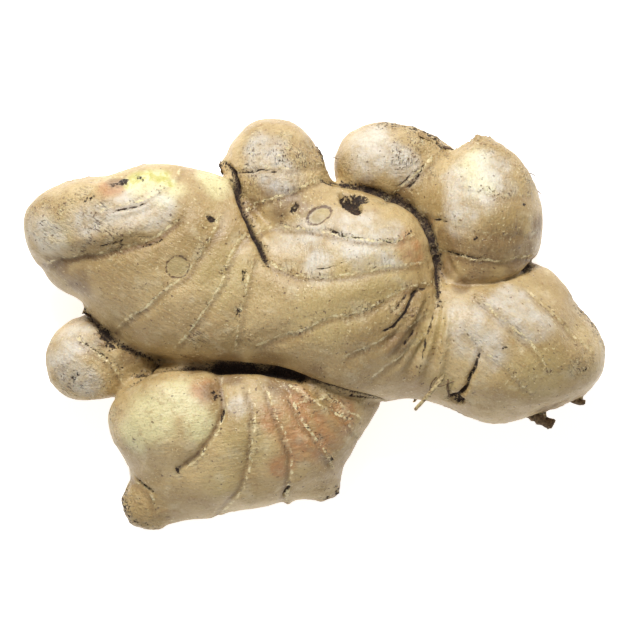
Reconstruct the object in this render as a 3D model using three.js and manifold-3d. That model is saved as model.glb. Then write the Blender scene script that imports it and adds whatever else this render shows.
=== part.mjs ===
// A fresh ginger rhizome: one grown piece, a flat hand of swollen fingers and knobs lying on its broad side.
// Millimetres, +Z up. The origin is the centre of the base, on the surface that the hand rests on.
// +X runs along the hand, from the long west finger to the blunt east lobe, and +Y towards the knobs behind.
import * as THREE from "three";
import { MarchingCubes } from "three/addons/objects/MarchingCubes.js";
import { mergeVertices } from "three/addons/utils/BufferGeometryUtils.js";
import Module from "manifold-3d";

// Overall sizes. The fingers' places are shares of these.
const HAND_LENGTH = 140.5;
const HAND_WIDTH = 100;
const HAND_HEIGHT = 38;

// How deep the undersides are flattened where the hand rests.
const REST_DEPTH = 0.7;

// The spacing of the grid that the skin is drawn on, the empty cells round it, and room for its triangles.
const GRID_STEP = 2.7;
const EMPTY_CELLS = 4;
const MOST_TRIANGLES = 40000;

// Corners this close are one, and edges this short are melted away.
const WELD = 1e-3;
const SHORTEST_EDGE = 0.12;

// Points along a finger's spine for each of its knots.
const STEPS_PER_KNOT = 5;

// Root ends that broke off short: from inside the skin to where they end, in per cents, and how thick in mm.
const ROOT_SIDES = 8;
const ROOTS = {
  pale_root: { from: [21.5, -12, 36], to: [16.8, -19.2, 30], thick: 2, thin: 1.1 },
  dark_root: { from: [35, -19.5, 34], to: [40.3, -23.8, 32], thick: 3.6, thin: 3 },
  side_root: { from: [41.5, -16, 36], to: [46.3, -18.6, 35], thick: 2.6, thin: 2.2 },
};

// Each finger is a swollen tube along a spine. A knot is [x, y, z, swelling]: x and y are per cents of the
// hand's length and width from its middle, z is a per cent of its height, and swelling is a share of the
// finger's own thickness, in mm.
const FINGERS = {
  heel: {
    thickness: 34,
    knots: [
      [-40, 14, 41, 0.39],
      [-33.5, 11.5, 41, 0.63],
      [-27, 8.5, 43.5, 0.9],
      [-19, 7, 45.5, 0.99],
      [-9.5, 6.5, 48.5, 0.97],
      [1, 3.5, 48.5, 0.93],
      [11, -0.5, 46, 0.87],
    ],
  },
  west_finger: {
    thickness: 25,
    knots: [
      [-44, 24, 58, 0.69],
      [-38.5, 24, 60.5, 0.86],
      [-31.5, 25, 63, 0.96],
      [-24.5, 25.5, 62, 1],
      [-19, 23.5, 58, 0.98],
      [-13.5, 17.5, 47.5, 0.84],
    ],
  },
  crown: {
    thickness: 36,
    knots: [
      [5, -4.5, 42, 0.69],
      [6, 5, 44.5, 0.93],
      [7.5, 13, 50, 0.99],
      [10, 15.5, 52.5, 0.8],
    ],
  },
  north_knob: {
    thickness: 25,
    knots: [
      [1, 18, 52.5, 0.96],
      [-3.5, 26, 50, 0.94],
      [-6.5, 33.5, 47.5, 1],
      [-7.5, 38, 44.5, 0.92],
    ],
  },
  rear_knob: {
    thickness: 22,
    knots: [
      [20, 29.5, 30.5, 0.87],
      [16.5, 36.5, 30.5, 1.02],
      [10.5, 38.5, 31.5, 0.98],
    ],
  },
  east_knob: {
    thickness: 28,
    knots: [
      [27, 15.5, 42, 0.82],
      [29, 23.5, 47.5, 1.01],
      [29, 30.5, 48.5, 0.92],
      [29.5, 36.5, 48.5, 0.57],
    ],
  },
  east_lobe: {
    thickness: 32,
    knots: [
      [25, 3, 43.5, 0.69],
      [29.5, -1.5, 42.5, 0.93],
      [35.5, -5.5, 42.5, 0.96],
      [42, -8, 41, 0.7],
      [45, -8.5, 41, 0.42],
    ],
  },
  east_shoulder: {
    thickness: 18,
    knots: [
      [38.5, 7, 39.5, 0.72],
      [35, 10, 39.5, 0.69],
    ],
  },
  south_lobe: {
    thickness: 26,
    knots: [
      [25, -6, 38, 1.01],
      [30, -10, 38, 1.01],
    ],
  },
  saddle: {
    thickness: 20,
    knots: [
      [13, -6, 37, 1.01],
      [21.5, -6, 35.5, 1.01],
    ],
  },
  lower_finger: {
    thickness: 27,
    knots: [
      [7.5, -16, 35.5, 0.39],
      [0.5, -19.5, 38, 0.73],
      [-6, -21.5, 39.5, 0.96],
      [-13.5, -22, 39.5, 1.01],
      [-21.5, -22.5, 42, 0.96],
      [-27.5, -23.5, 43.5, 0.71],
    ],
  },
  lower_ridge: {
    thickness: 22,
    knots: [
      [1, -25, 34, 0.65],
      [-4.5, -31, 35.5, 0.92],
      [-12, -33.5, 36.5, 1],
      [-19.5, -36.5, 34, 0.94],
      [-24.5, -39.5, 31.5, 0.78],
      [-28.5, -43.5, 30.5, 0.63],
    ],
  },
  lower_bud: {
    thickness: 25,
    knots: [
      [-19, -23, 41, 0.98],
      [-24.5, -22.5, 43.5, 1.02],
      [-28.5, -23.5, 42, 0.77],
    ],
  },
  lower_nub: {
    thickness: 14,
    knots: [
      [-2, -31, 31.5, 1.03],
      [0.5, -38, 27.5, 0.82],
    ],
  },
  web: {
    thickness: 14,
    knots: [
      [-25.5, -13.5, 18.5, 0.96],
      [-13, -12, 18.5, 0.96],
      [1, -13, 21, 0.96],
    ],
  },
  west_knob: {
    thickness: 21,
    knots: [
      [-31.5, -4.5, 31.5, 0.78],
      [-36.5, -7.5, 30.5, 0.98],
      [-39.5, -8.5, 30.5, 1],
    ],
  },
};

// The fingers that flow into one another, and over how many millimetres each one melts into those before it.
// Two clumps only press together, which leaves the sharp creases of the real root.
const CLUMPS = {
  palm: {
    heel: 0,
    west_finger: 14,
    crown: 10,
    saddle: 8,
    east_lobe: 6,
    east_shoulder: 6,
    south_lobe: 8,
  },
  north: { crown: 0, north_knob: 8 },
  shoulder: { east_knob: 0, rear_knob: 5 },
  lower: { lower_finger: 0, lower_ridge: 14, lower_bud: 3, lower_nub: 4, web: 4 },
  west: { west_knob: 0 },
};

const wasm = await Module();
wasm.setup();

// A place in millimetres from the hand's middle, on its base plane.
function placeOf([x, y, z]) {
  return new THREE.Vector3(x * HAND_LENGTH, y * HAND_WIDTH, z * HAND_HEIGHT).divideScalar(100);
}

// The finger as short straight stretches, each with its two ends and the radii there.
function stretchesOf({ thickness, knots }) {
  const steps = STEPS_PER_KNOT * (knots.length - 1);
  const spine = new THREE.CatmullRomCurve3(knots.map(placeOf)).getPoints(steps);
  const swellings = knots.map((knot) => new THREE.Vector2(knot[3], 0));
  const girth = new THREE.SplineCurve(swellings).getPoints(steps);
  const radii = girth.map(({ x }) => (x * thickness) / 2);
  return radii.slice(1).map((last, i) => ({
    line: new THREE.Line3(spine[i], spine[i + 1]),
    first: radii[i],
    last,
  }));
}

// How far a place is outside a finger's skin, negative inside it.
const nearest = new THREE.Vector3();
function distanceTo(stretches, place) {
  let least = Infinity;
  for (const { line, first, last } of stretches) {
    const along = line.closestPointToPointParameter(place, true);
    line.at(along, nearest);
    least = Math.min(least, nearest.distanceTo(place) - THREE.MathUtils.lerp(first, last, along));
  }
  return least;
}

// The lesser of two distances, rounded where they are alike.
function melt(a, b, over) {
  const alike = Math.max(over - Math.abs(a - b), 0);
  return Math.min(a, b) - (alike > 0 ? (alike * alike) / (4 * over) : 0);
}

// A clump's skin, drawn on a grid of cubes that is a little longer than the hand.
function skinOf(clump) {
  const cells = Math.ceil(Math.max(HAND_LENGTH, HAND_WIDTH, HAND_HEIGHT) / GRID_STEP) + 2 * EMPTY_CELLS;
  const grid = new MarchingCubes(cells, new THREE.MeshBasicMaterial(), false, false, MOST_TRIANGLES);
  grid.isolation = 0;
  const fingers = Object.entries(clump).map(([name, over]) => [stretchesOf(FINGERS[name]), over]);
  const place = new THREE.Vector3();
  const middle = new THREE.Vector3(0, 0, HAND_HEIGHT / 2);
  for (let i = 0; i < grid.size3; i++) {
    place.set(i % grid.size, Math.floor(i / grid.yd) % grid.size, Math.floor(i / grid.zd));
    place.subScalar(grid.halfsize).multiplyScalar(GRID_STEP).add(middle);
    const outside = ([stretches, over]) => [distanceTo(stretches, place), over];
    grid.field[i] = -fingers.map(outside).reduce((all, [one, over]) => melt(all, one, over), Infinity);
  }
  grid.update();
  const skin = new THREE.BufferGeometry();
  skin.setAttribute("position", new THREE.BufferAttribute(grid.positionArray.slice(0, 3 * grid.count), 3));
  const half = grid.halfsize * GRID_STEP;
  return skin.scale(half, half, half).translate(...middle);
}

// A closed three.js geometry as a manifold solid, without the triangles that welding closes up.
function solidOf(geometry) {
  const bare = geometry.clone();
  bare.deleteAttribute("normal");
  bare.deleteAttribute("uv");
  const merged = mergeVertices(bare, WELD);
  const corners = merged.index.array;
  const triangles = [];
  for (let i = 0; i < corners.length; i += 3) {
    const [a, b, c] = corners.slice(i, i + 3);
    if (a !== b && b !== c && c !== a) triangles.push(a, b, c);
  }
  const vertProperties = merged.attributes.position.array;
  const triVerts = new Uint32Array(triangles);
  return new wasm.Manifold(new wasm.Mesh({ numProp: 3, vertProperties, triVerts }));
}

function geometryOf(solid) {
  const mesh = solid.getMesh();
  const geometry = new THREE.BufferGeometry();
  geometry.setAttribute("position", new THREE.BufferAttribute(mesh.vertProperties, 3));
  geometry.setIndex(new THREE.BufferAttribute(mesh.triVerts, 1));
  geometry.computeVertexNormals();
  return geometry;
}

// The outer skin alone: a pocket closed in between pressed fingers is grown shut.
function outsideOf(solid) {
  const shells = solid.decompose().sort((one, other) => other.volume() - one.volume());
  return shells[0];
}

// A broken root end: a tapered peg from inside the skin outwards.
function rootOf({ from, to, thick, thin }) {
  const start = placeOf(from);
  const along = placeOf(to).sub(start);
  const peg = new THREE.CylinderGeometry(thin / 2, thick / 2, along.length(), ROOT_SIDES);
  peg.translate(0, along.length() / 2, 0);
  const upright = new THREE.Vector3(0, 1, 0);
  peg.applyQuaternion(new THREE.Quaternion().setFromUnitVectors(upright, along.normalize()));
  return peg.translate(...start);
}

// What the ground takes off the undersides.
function groundBlock() {
  const block = new THREE.BoxGeometry(2 * HAND_LENGTH, 2 * HAND_WIDTH, HAND_HEIGHT);
  return block.translate(0, 0, REST_DEPTH - HAND_HEIGHT / 2);
}

const clumps = Object.values(CLUMPS).map((clump) => solidOf(skinOf(clump)));
const roots = Object.values(ROOTS).map((root) => solidOf(rootOf(root)));
const whole = [...clumps, ...roots].reduce((hand, piece) => hand.add(piece));
const rested = outsideOf(whole.subtract(solidOf(groundBlock())).simplify(SHORTEST_EDGE));

const skin = new THREE.MeshStandardMaterial({ name: "skin", color: 0xc2ad82, roughness: 0.55, metalness: 0 });
const rhizome = new THREE.Mesh(geometryOf(rested), skin);
rhizome.name = "rhizome";

// The hand stands on its rest flats, with the middle of its outline over the origin.
const box = new THREE.Box3().setFromObject(rhizome);
const middle = box.getCenter(new THREE.Vector3());
rhizome.position.set(-middle.x, -middle.y, -box.min.z);

const hand = new THREE.Group();
hand.add(rhizome);

export default hand;
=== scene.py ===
# %% [markdown]
# # A hand of fresh ginger
#
# Ginger is sold as a "hand": a rhizome, which is a swollen stem that creeps along under the ground. It
# grows as one piece, so there is nothing to assemble here. What makes it look real is its skin: rings
# where scale leaves once sat, bulges between the rings, tight creases packed with soil, round root scars,
# corky tips and a wet-looking cut.
#
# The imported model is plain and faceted. This script takes a copy of it, gives the copy an even, dense
# skin, and then works on that skin as a sculptor would, by moving its points along their normals.

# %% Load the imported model
import math

import bmesh
import bpy
import numpy as np
from mathutils import Matrix, Vector, noise
from mathutils.bvhtree import BVHTree
from mathutils.kdtree import KDTree


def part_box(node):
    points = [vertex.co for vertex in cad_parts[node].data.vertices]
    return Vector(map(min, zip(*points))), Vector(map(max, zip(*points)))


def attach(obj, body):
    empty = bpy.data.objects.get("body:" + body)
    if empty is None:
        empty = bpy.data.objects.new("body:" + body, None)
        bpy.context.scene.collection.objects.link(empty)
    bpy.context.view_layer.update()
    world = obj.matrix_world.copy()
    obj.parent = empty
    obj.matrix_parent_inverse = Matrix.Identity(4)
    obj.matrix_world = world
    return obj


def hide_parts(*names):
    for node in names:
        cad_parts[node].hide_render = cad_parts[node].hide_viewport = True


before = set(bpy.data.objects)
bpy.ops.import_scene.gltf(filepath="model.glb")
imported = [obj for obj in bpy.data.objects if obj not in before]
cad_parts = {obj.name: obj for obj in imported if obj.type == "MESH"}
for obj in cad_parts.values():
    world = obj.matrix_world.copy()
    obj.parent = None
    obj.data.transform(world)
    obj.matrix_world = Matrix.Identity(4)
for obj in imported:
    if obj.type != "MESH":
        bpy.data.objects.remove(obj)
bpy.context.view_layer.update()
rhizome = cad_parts["rhizome"]
low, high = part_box("rhizome")
print("the hand's box in metres:", low, high)

# %% [markdown]
# ## Units and places
#
# Blender works in metres, but a ginger skin is thought of in millimetres, so every size below is in
# millimetres and is turned to metres where it is used. Places on the hand are per cents of its length and
# width, counted from its middle, as a map's grid would be: `(0, 0)` is the middle, `(-50, 0)` the far left
# end.

# %% Millimetres and places
MM = 0.001
length, width = (high - low).x / MM, (high - low).y / MM
middle = (low + high) / 2 / MM


def on_map(x, y):
    """The millimetre place of a map square."""
    return Vector((middle.x + x * length / 100, middle.y + y * width / 100, 0))


print("length, width in mm:", round(length, 1), round(width, 1))

# %% [markdown]
# ## Camera
#
# The hand is looked at from straight above. A long lens far away keeps the edges of the hand from leaning
# outwards. The map is read from where the camera is: a place on it is where the line of sight meets the
# skin.

# %% Camera
EYE_HEIGHT = 620
SIGHT_HEIGHT = 20
VIEW_WIDTH = 153.5
eye = Vector((1.2, 1.5, EYE_HEIGHT))
camera_data = bpy.data.cameras.new("camera")
camera_data.angle = 2 * math.atan(VIEW_WIDTH / 2 / (EYE_HEIGHT - SIGHT_HEIGHT))
camera = bpy.data.objects.new("camera", camera_data)
camera.location = eye * MM
bpy.context.scene.collection.objects.link(camera)
bpy.context.scene.camera = camera
print("lens in mm:", round(camera_data.lens))

# %% [markdown]
# ## An even skin
#
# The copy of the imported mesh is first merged, because its triangles are loose. Then a voxel remesh wraps
# it in small squares of one size, which is what sculpting needs: every stretch of skin has points to move.
# The remesh keeps the flat facets of the model, so the points are smoothed, except close to the creases
# where two fingers press together. Those are found on the copy first, as edges where the skin folds
# inwards.

# %% Copy, merge and find the creases
VOXEL = 0.66
CREASE_ANGLE = math.radians(24)
CREASE_STEP = 0.4
LONG_CREASE = 10
HEALED = (-2.5, 22, 9.5)

plain = bmesh.new()
plain.from_mesh(rhizome.data)
bmesh.ops.remove_doubles(plain, verts=plain.verts, dist=1e-7)
crease_points = []
for edge in plain.edges:
    if len(edge.link_faces) == 2 and edge.calc_face_angle_signed(0) < -CREASE_ANGLE:
        start, end = (v.co / MM for v in edge.verts)
        steps = max(1, round((end - start).length / CREASE_STEP))
        crease_points += [start.lerp(end, i / steps) for i in range(steps + 1)]

every_crease = KDTree(len(crease_points))
for i, point in enumerate(crease_points):
    every_crease.insert(point, i)
every_crease.balance()
near_each = [len(every_crease.find_range(p, LONG_CREASE / 2)) for p in crease_points]
crease_points = [p for p, near in zip(crease_points, near_each) if near > LONG_CREASE]
healed = on_map(*HEALED[:2])
crease_points = [p for p in crease_points if (p.xy - healed.xy).length > HEALED[2]]
skin_mesh = bpy.data.meshes.new("ginger_skin")
plain.to_mesh(skin_mesh)
plain.free()
skin = bpy.data.objects.new("ginger_skin", skin_mesh)
bpy.context.scene.collection.objects.link(skin)
print("crease points:", len(crease_points))

# %% Voxel remesh
remesh = skin.modifiers.new("even", "REMESH")
remesh.mode = "VOXEL"
remesh.voxel_size = VOXEL * MM
even_mesh = bpy.data.meshes.new_from_object(skin.evaluated_get(bpy.context.evaluated_depsgraph_get()))
skin.modifiers.clear()
skin.data = even_mesh
even_mesh.name = "ginger_skin"
bpy.data.meshes.remove(skin_mesh)
print("even skin:", len(even_mesh.vertices), "points")

# %% Smooth the facets, but not the creases
crease_tree = KDTree(len(crease_points))
for i, point in enumerate(crease_points):
    crease_tree.insert(point, i)
crease_tree.balance()


def crease_gap(places):
    """How far each place is from the nearest crease, in mm."""
    return np.array([crease_tree.find(Vector(p))[2] for p in places])


def places_of(mesh):
    """A mesh's points in mm, one row each."""
    flat = np.empty(len(mesh.vertices) * 3)
    mesh.vertices.foreach_get("co", flat)
    return flat.reshape(-1, 3) / MM


SMOOTH_ROUNDS = 14
CREASE_ROUNDS = 4
NEAR_CREASE = 1.6
gap = crease_gap(places_of(even_mesh))
soft = bmesh.new()
soft.from_mesh(even_mesh)
soft.verts.ensure_lookup_table()
open_skin = [v for v, g in zip(soft.verts, gap) if g > NEAR_CREASE]
every_way = {"use_axis_x": True, "use_axis_y": True, "use_axis_z": True}
for verts, rounds in ((open_skin, SMOOTH_ROUNDS), (soft.verts, CREASE_ROUNDS)):
    for _ in range(rounds):
        bmesh.ops.smooth_vert(soft, verts=verts, factor=0.5, **every_way)
skin_tree = BVHTree.FromBMesh(soft)
soft.to_mesh(even_mesh)
soft.free()
places = places_of(even_mesh)
gap = crease_gap(places)
flat = np.empty(len(even_mesh.vertices) * 3)
even_mesh.vertices.foreach_get("normal", flat)
normals = flat.reshape(-1, 3)
count = len(places)
print("open skin points:", len(open_skin), "of", count)

# %% [markdown]
# ## Drawing on the skin
#
# Rings and cracks are drawn as lines through a few places on the map. Each line is rounded off by cutting
# its corners, and laid on the skin along the line of sight. What a line does to the skin depends on how
# far each point is from it, so the one measure that every mark needs is that distance.

# %% Lines, distances and noise
def lay_on_skin(x, y):
    """The place on the skin, in mm, that is seen at a map square."""
    seen = on_map(x, y)
    seen.z = SIGHT_HEIGHT
    hit = skin_tree.ray_cast(eye * MM, (seen - eye).normalized())[0]
    return hit / MM if hit else seen


def rounded(line, rounds=2):
    """The line with its corners cut off, so that it bends smoothly."""
    points = [np.array(p, float) for p in line]
    for _ in range(rounds):
        cut = [points[0]]
        for a, b in zip(points, points[1:]):
            cut += [a * 0.75 + b * 0.25, a * 0.25 + b * 0.75]
        points = cut + [points[-1]]
    return points


def drawn(line):
    """A line on the map as a row of places on the skin."""
    return np.array([lay_on_skin(*p) for p in rounded(line)])


def away_from(line, upright=False, where=None):
    """Each point's distance to a line in mm, its side (+1 left, -1 right) and its share along the line.

    An upright line is a curtain that hangs through the hand, so it marks the skin all the way round."""
    axes = 2 if upright else 3
    at = places if where is None else where
    at = at[:, :axes]
    best = np.full(len(at), 1e9)
    side = np.zeros(len(at))
    share = np.zeros(len(at))
    total = len(line) - 1
    for i, (a, b) in enumerate(zip(line[:, :axes], line[1:, :axes])):
        run = b - a
        t = np.clip(((at - a) @ run) / max(run @ run, 1e-9), 0, 1)
        off = at - a - t[:, None] * run
        distance = np.linalg.norm(off, axis=1)
        nearer = distance < best
        best[nearer] = distance[nearer]
        side[nearer] = np.sign(run[0] * off[:, 1] - run[1] * off[:, 0])[nearer]
        share[nearer] = ((i + t) / total)[nearer]
    return best, side, share


def bump(distance, reach):
    """1 on the mark, falling smoothly to 0 a few reaches away."""
    return np.exp(-((distance / reach) ** 2))


def speckle(size, seed=0, where=None):
    """Smooth noise from about -1 to 1 at each point, with blobs of that size in mm."""
    at = places if where is None else where
    shift = Vector((seed * 17.3, seed * -9.1, seed * 5.7))
    return np.array([noise.noise(Vector(p) / size + shift) for p in at])


def ramp(value, start, end):
    """0 before start, 1 after end, and smooth between them."""
    t = np.clip((value - start) / (end - start), 0, 1)
    return t * t * (3 - 2 * t)


fine = speckle(1.6, 1)
medium = speckle(4.5, 2)
broad = speckle(13, 3)
print("noise ranges:", [float(n.min().round(2)) for n in (fine, medium, broad)])

# %% [markdown]
# ## Leaf-scar rings
#
# Every ring is the scar of a scale leaf that once wrapped the finger, so it runs all the way round. The
# skin pinches in a little at the ring and swells between rings. The scar itself is a thin raised thread,
# paler than the skin, with a shadowed step on the side that the leaf grew towards. Each ring below is a
# line on the map that hangs through the hand as a curtain. After its name come how pale the thread is,
# from 0 to 1, and how strong the pinch is. The side rings are drawn straight through the hand and kept low
# down, where the fingers' flanks would look bare without them.

# %% Rings
RINGS = {
    "crown_top": (0.8, 0.9, [
        (-13, 20), (-10.5, 22.6), (-7, 24.3), (-3, 23.6), (1, 23), (5, 21.4), (9, 20.8), (14, 20.9),
        (17, 22.4),
    ]),
    "crown_second": (0.7, 1.0, [
        (-8.3, 16.3), (-5, 13.2), (-1, 11.8), (3, 12.2), (8, 12.8), (13, 14.6), (16.5, 14.8), (19, 15.6),
    ]),
    "crown_third": (0.9, 1.0, [
        (-10, -4.5), (-5, -2.6), (-1.7, -0.5), (2, 2), (6, 2.5), (9.5, 4.6), (13.5, 7.5), (17, 10),
        (20, 11),
    ]),
    "crown_fourth": (0.7, 0.8, [(5, -8), (8.5, -5.3), (13, -2.6), (16, 0), (19.5, 3)]),
    "crown_fifth": (0.4, 0.6, [(9, -13), (13, -9.5), (16.5, -5.5), (19.5, -1)]),
    "heel_first": (0.9, 0.9, [
        (-34, -1), (-31.8, 2.3), (-28.5, 5.3), (-25.5, 9.3), (-22.4, 11.4), (-20.8, 16), (-17.6, 21.7),
        (-15.8, 27),
    ]),
    "heel_second": (0.8, 0.8, [
        (-24, -6), (-21, 0), (-18, 5), (-16, 11), (-14.9, 15), (-13.5, 19.5), (-11.9, 22.3),
    ]),
    "heel_third": (0.8, 0.7, [(-13.5, -6), (-13.3, 0), (-12.4, 6), (-11.4, 11), (-10.6, 15.5)]),
    "west_cap": (0.5, 1.7, [
        (-46, 15), (-41, 16.2), (-36, 17.4), (-31, 19.6), (-27.5, 21), (-25, 24), (-23.4, 26),
    ]),
    "west_cut_edge": (0.5, 0.6, [
        (-37, 27.5), (-34.8, 28.6), (-32, 29.6), (-28.7, 31), (-25.5, 34), (-23, 37.5),
    ]),
    "north_base": (0.8, 0.9, [
        (-12.4, 27), (-9.5, 30), (-6.5, 31), (-4, 32.2), (-1.5, 34.4), (1.5, 35.5),
    ]),
    "north_second": (0.3, 0.7, [(-14, 38), (-10, 38.6), (-6, 38), (-2, 38.6), (1.5, 39.5)]),
    "east_ring": (0.5, 1.0, [(20.5, 18.5), (23, 17.3), (26, 16.5), (29, 15.8), (33, 15.6), (37.5, 17)]),
    "east_second": (0.25, 0.6, [(20, 26.5), (24, 25), (28.5, 22.6), (33, 21.5), (38, 22.5)]),
    "east_third": (0.2, 0.5, [(24.5, 35), (28, 33), (32, 31.5), (37, 32)]),
    "rear_ring": (0.6, 0.8, [(11.5, 30.6), (14.5, 33), (17.4, 36.5), (20, 41)]),
    "lobe_ridge": (0.6, 0.7, [(27.8, 7), (29.7, 4.6), (31.5, 1.9), (35, -1.5), (38, -5.5), (40, -11)]),
    "lobe_second": (0.4, 0.5, [(26, -1), (28.2, -5), (31, -8.6), (34, -11.5), (37, -16)]),
    "lobe_third": (0.3, 0.6, [(36, 9), (40, 4), (44, -1), (47.5, -6)]),
    "bud_edge": (0.7, 1.5, [
        (-16.2, -12), (-15, -15.8), (-14.9, -18), (-15.7, -23), (-17.6, -28), (-19.5, -31.5), (-23, -35),
    ]),
    "lower_second": (0.8, 1.0, [
        (-11.3, -15), (-10.5, -19.5), (-10.2, -23), (-10.4, -29.5), (-11.3, -36), (-13, -41), (-16, -45),
    ]),
    "lower_third": (0.9, 1.1, [(-8.2, -15), (-6.5, -21), (-5, -27), (-4, -32), (-3.9, -36), (-5, -41.5)]),
    "lower_fourth": (0.8, 0.9, [(-4.3, -16), (-2.5, -22), (0, -26.5), (2.2, -30), (3, -34)]),
    "lower_fifth": (0.4, 0.7, [(0.5, -15), (3.5, -19), (6, -23), (7.5, -27)]),
    "wedge_thread": (0.9, 0.3, [(-4.4, -14), (-1, -17.4), (3, -20.4), (6.4, -22.4)]),
    "wedge_thread_two": (0.8, 0.2, [(-3, -18.4), (0, -18), (2.4, -16.6)]),
    "wedge_thread_three": (0.8, 0.2, [(3, -17), (5, -20), (8, -22)]),
    "tip_ring": (0.4, 0.9, [(-33, -35), (-30.9, -37), (-28, -40), (-26.5, -45)]),
    "knob_ring": (0.6, 0.8, [(-40.5, -2.5), (-38, -5.5), (-35.8, -7.8), (-34, -10.2), (-32.4, -14)]),
}
SIDE_RINGS = {
    "west_low_side": (0.7, 1.2, [(-50, 4), (-44, 12), (-38, 14)]),
    "west_low_tip": (0.6, 1.0, [(-52, 14), (-47, 24), (-45, 38)]),
    "west_back": (0.6, 1.2, [(-27, 50), (-30, 36), (-28, 30)]),
    "west_back_tip": (0.6, 1.0, [(-36, 50), (-38, 34), (-36, 26)]),
    "knob_low": (0.6, 1.0, [(-52, -4), (-42, -8), (-36, -22)]),
    "bud_low": (0.6, 1.2, [(-40, -20), (-30, -22), (-22, -40)]),
    "finger_low": (0.6, 1.0, [(-36, -30), (-30, -38), (-18, -50)]),
    "north_low": (0.6, 1.2, [(-16, 46), (-6, 42), (4, 46)]),
    "rear_low": (0.6, 1.2, [(2, 44), (10, 40), (20, 52)]),
    "rear_low_two": (0.5, 0.8, [(0, 36), (8, 36), (14, 54)]),
    "east_low": (0.7, 1.2, [(24, 50), (32, 30), (46, 26)]),
    "east_low_two": (0.5, 0.9, [(32, 50), (38, 34), (46, 32)]),
    "lobe_low": (0.7, 1.2, [(36, 14), (44, 2), (44, -24)]),
    "lobe_low_two": (0.6, 1.0, [(40, 18), (48, 2), (50, -22)]),
    "lobe_low_three": (0.6, 1.0, [(26, -26), (32, -12), (38, -26)]),
}
SIDE_TOP = 13
FAR = 9.0
THREAD_WIDTH = 0.4
THREAD_HEIGHT = 0.26
PINCH_WIDTH = 2.4
PINCH_DEPTH = 0.7
STEP_WIDTH = 1.5
STEP_HEIGHT = 0.22
SHADE_OFFSET = 1.0
SHADE_WIDTH = 0.55

height = np.zeros(count)
ring_gap = np.full(count, FAR)
ring_pale = np.zeros(count)
ring_shade = np.zeros(count)
wander = 0.55 * medium + 0.25 * fine
broken = 0.45 + 0.55 * ramp(medium + 0.5 * fine, -0.35, 0.15)
low_down = 1 - ramp(places[:, 2] + 2 * medium, SIDE_TOP - 4, SIDE_TOP + 2)
for name, (pale, pinch, line) in (RINGS | SIDE_RINGS).items():
    if name in SIDE_RINGS:
        curtain = np.array([on_map(*p) for p in rounded(line)])
        distance, side, share = away_from(curtain, upright=True)
        distance = distance + FAR * (1 - low_down)
    else:
        distance, side, share = away_from(drawn(line), upright=True)
    signed = distance * side + wander
    distance = np.where(distance < 6, np.abs(signed), distance)
    ends = 0.5 + 0.5 * ramp(share, 0, 0.12) * (1 - ramp(share, 0.88, 1))
    height -= PINCH_DEPTH * pinch * ends * bump(distance, PINCH_WIDTH)
    height += THREAD_HEIGHT * pale * ends * broken * bump(distance, THREAD_WIDTH)
    step = np.sign(signed) * bump(distance, STEP_WIDTH) * ramp(distance, 0, 0.5)
    height += STEP_HEIGHT * pinch * ends * step
    nearer = distance < ring_gap
    ring_gap[nearer] = distance[nearer]
    ring_pale[nearer] = (pale * ends * broken)[nearer]
    shade = pinch * ends * bump(signed + SHADE_OFFSET, SHADE_WIDTH)
    ring_shade = np.maximum(ring_shade, shade)
print("ring points:", int((ring_gap < 0.5).sum()))

# %% [markdown]
# ## Folds
#
# Where two fingers press together the skin folds in, and soil stays in the fold after washing. The dark
# paint along the folds and the low creases is that soil and also painted shade, standing in for the shadow
# deep in the folds and under the heel. The creases that were found on the imported model are deepened a
# little. The folds that show most are drawn as well: after each name come its half width and depth in mm,
# how far the skin swells on its left and on its right, and how much soil and painted shade it holds.

# %% Folds
CREASE_DEPTH = 0.6
CREASE_WIDTH = 0.8
LIP_WIDTH = 3.4
FOLD_ROUND = 0.5
CRUMB_AMOUNT = 0.42
CRUMB_REACH = 0.9
FOLDS = {
    "crown_lip": (0.36, 0.9, -0.2, 0.35, 0.9, [
        (1.4, 35.6), (4.8, 33.2), (10.6, 31.7), (14.5, 29.3), (18.3, 25.2), (20, 20.2), (20.8, 16),
        (21.2, 12), (21, 5),
    ]),
    "crown_lip_north": (0.3, 0.4, 0, 0, 0.9, [
        (3, 35), (6, 33.6), (10.6, 32.4), (14.8, 30), (18.8, 25.6), (20.2, 21),
    ]),
    "north_fold": (0.52, 1.7, 0.6, 0.2, 1.0, [
        (-8.2, 15.4), (-9.6, 20.7), (-10.7, 24.1), (-12, 27.5), (-13, 31.5), (-13.7, 35.6), (-14.8, 39),
    ]),
    "heel_undercut": (0.7, 1.9, 0.2, 0.1, 1.0, [
        (-18, -10), (-14, -10), (-9, -10.4), (-5, -11.2), (-1, -12.8),
    ]),
    "undercut_west": (0.2, 0.8, 0, 0, 0.55, [(-31, -12), (-27, -10.6), (-22, -9.8), (-17, -9.8)]),
    "undercut_east": (0.3, 1.0, 0, 0, 0.8, [(-1, -12.8), (3, -14.6), (7, -16.3), (11.6, -17.8)]),
    "knob_fold": (0.28, 1.1, 0.3, 0.3, 0.8, [
        (-38.7, 2.4), (-36.5, -0.6), (-34.5, -3.3), (-31, -6.5), (-27, -8.6),
    ]),
    "knob_bud_fold": (0.25, 0.9, 0, 0, 0.8, [(-26.6, -8.8), (-28.6, -11.4), (-31.6, -14.4)]),
    "lobe_fold": (0.15, 0.5, 0.2, 0.2, 0.15, [
        (21.8, 10.8), (26, 9.8), (30.5, 10.2), (35, 12.4), (37.6, 15.4),
    ]),
    "lobe_fold_end": (0.4, 0.9, 0, 0, 0.9, [(35.6, 13), (37.6, 15.4), (38.6, 17)]),
}
height -= CREASE_DEPTH * bump(gap, CREASE_WIDTH)
# soil and painted shade darken the creases low down and the edges of the folds
lower_half = 1 - ramp(places[:, 2], 10, 16)
soil = 0.45 * bump(gap, 1.0) * lower_half * ramp(medium + 0.4 * fine, -0.5, 0.4)
fold_gap = np.full(count, FAR)
ragged = 0.2 * fine + 0.12 * medium
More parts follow.
